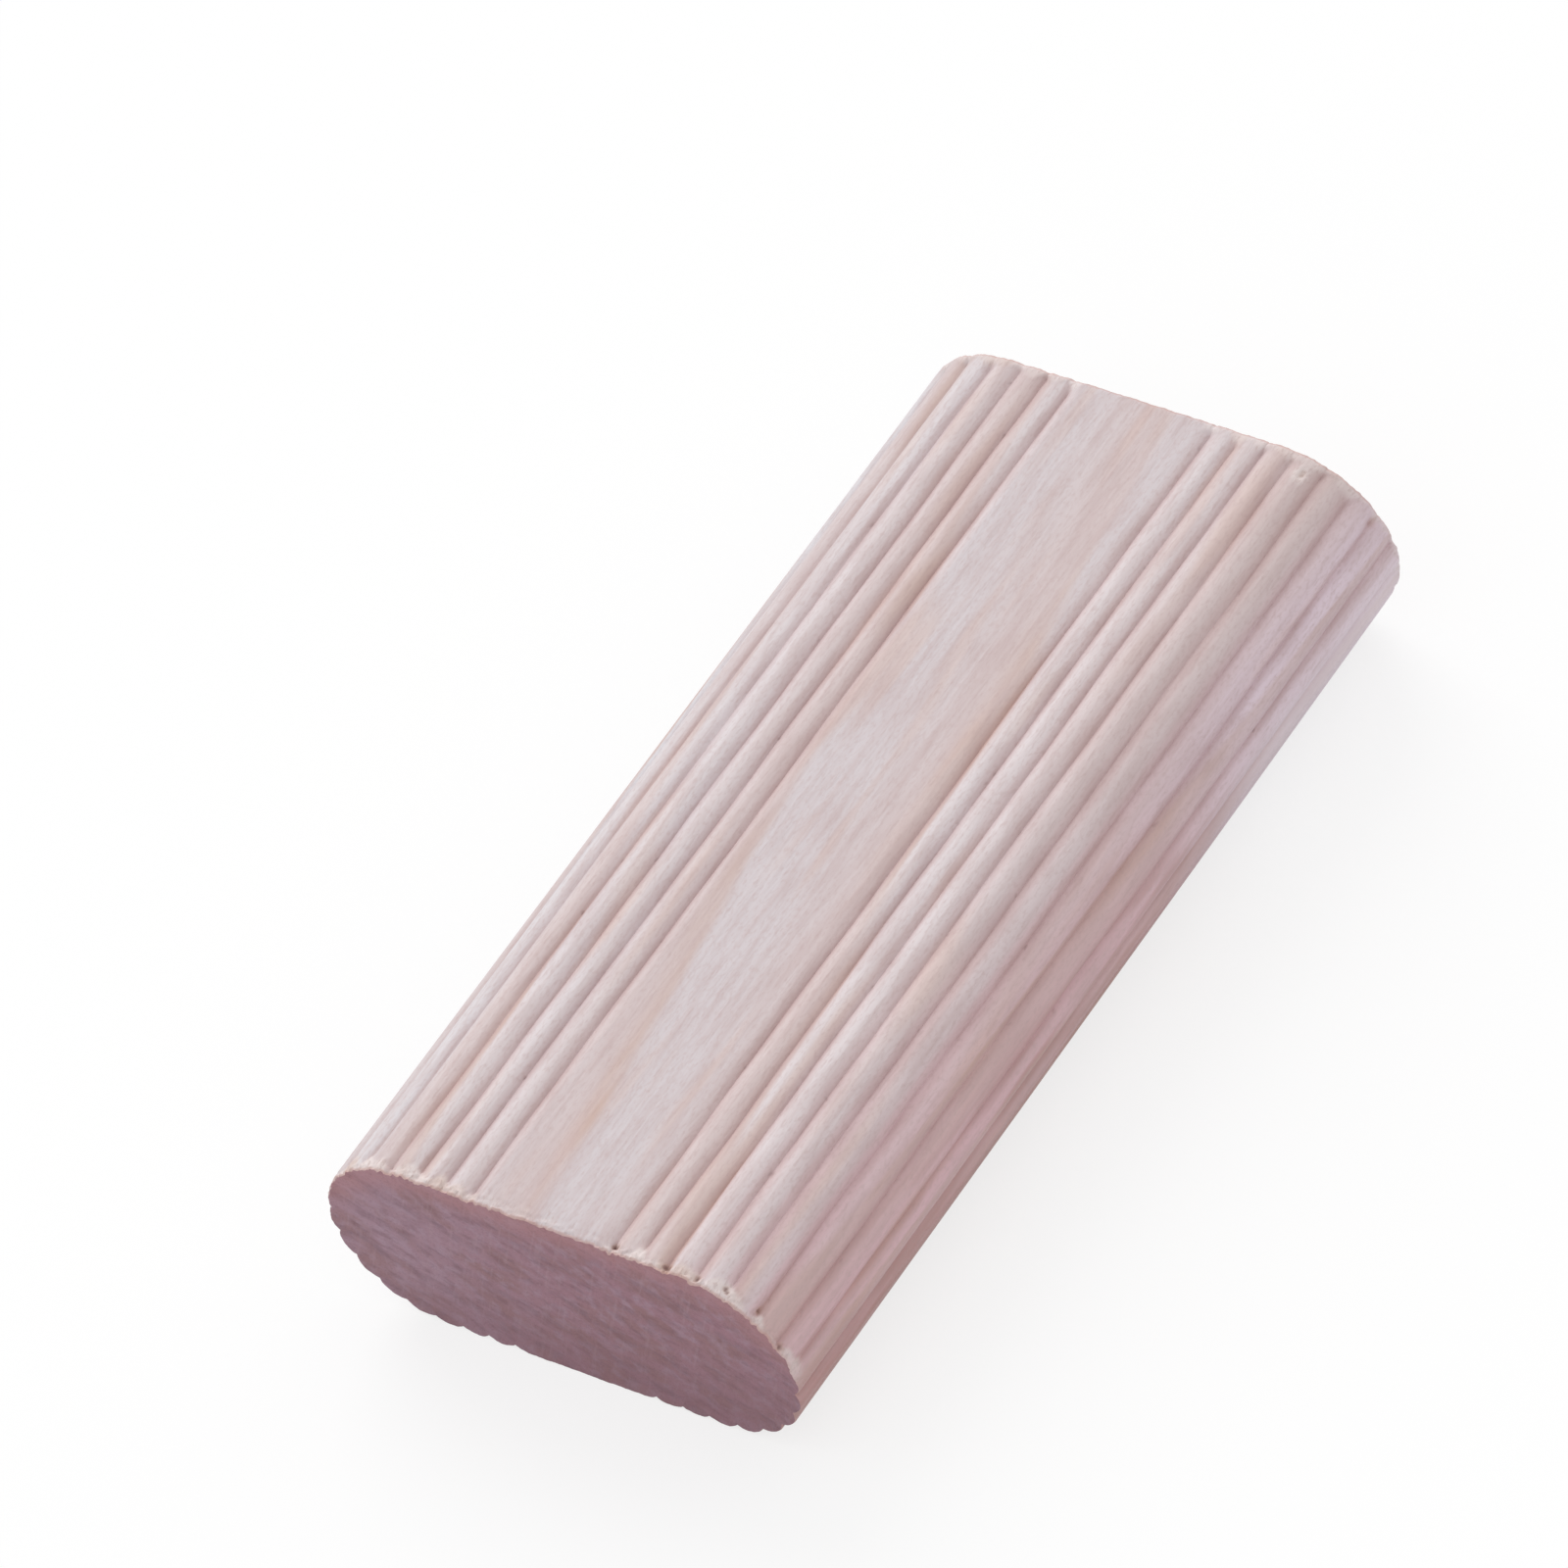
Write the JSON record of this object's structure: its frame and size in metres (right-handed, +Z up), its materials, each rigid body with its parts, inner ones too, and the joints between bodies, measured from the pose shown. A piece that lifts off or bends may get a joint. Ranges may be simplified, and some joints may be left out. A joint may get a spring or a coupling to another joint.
{
  "type": "flat dowel pin",
  "caption": "Flat fluted wooden dowel pin with half-round sides, glued into matching slots to join two boards.",
  "frame": {"origin": "under the middle of the wide face that the pin lies on", "axes": "+Y along the length and the grain, +X across the width, +Z up through the thickness"},
  "size_m": [0.024, 0.05, 0.01],
  "materials": {
    "wood": "planed and fluted along the grain, sawn ends, bare"
  },
  "bodies": {
    "root": {"flat_dowel": "wood"}
  },
  "joints": []
}
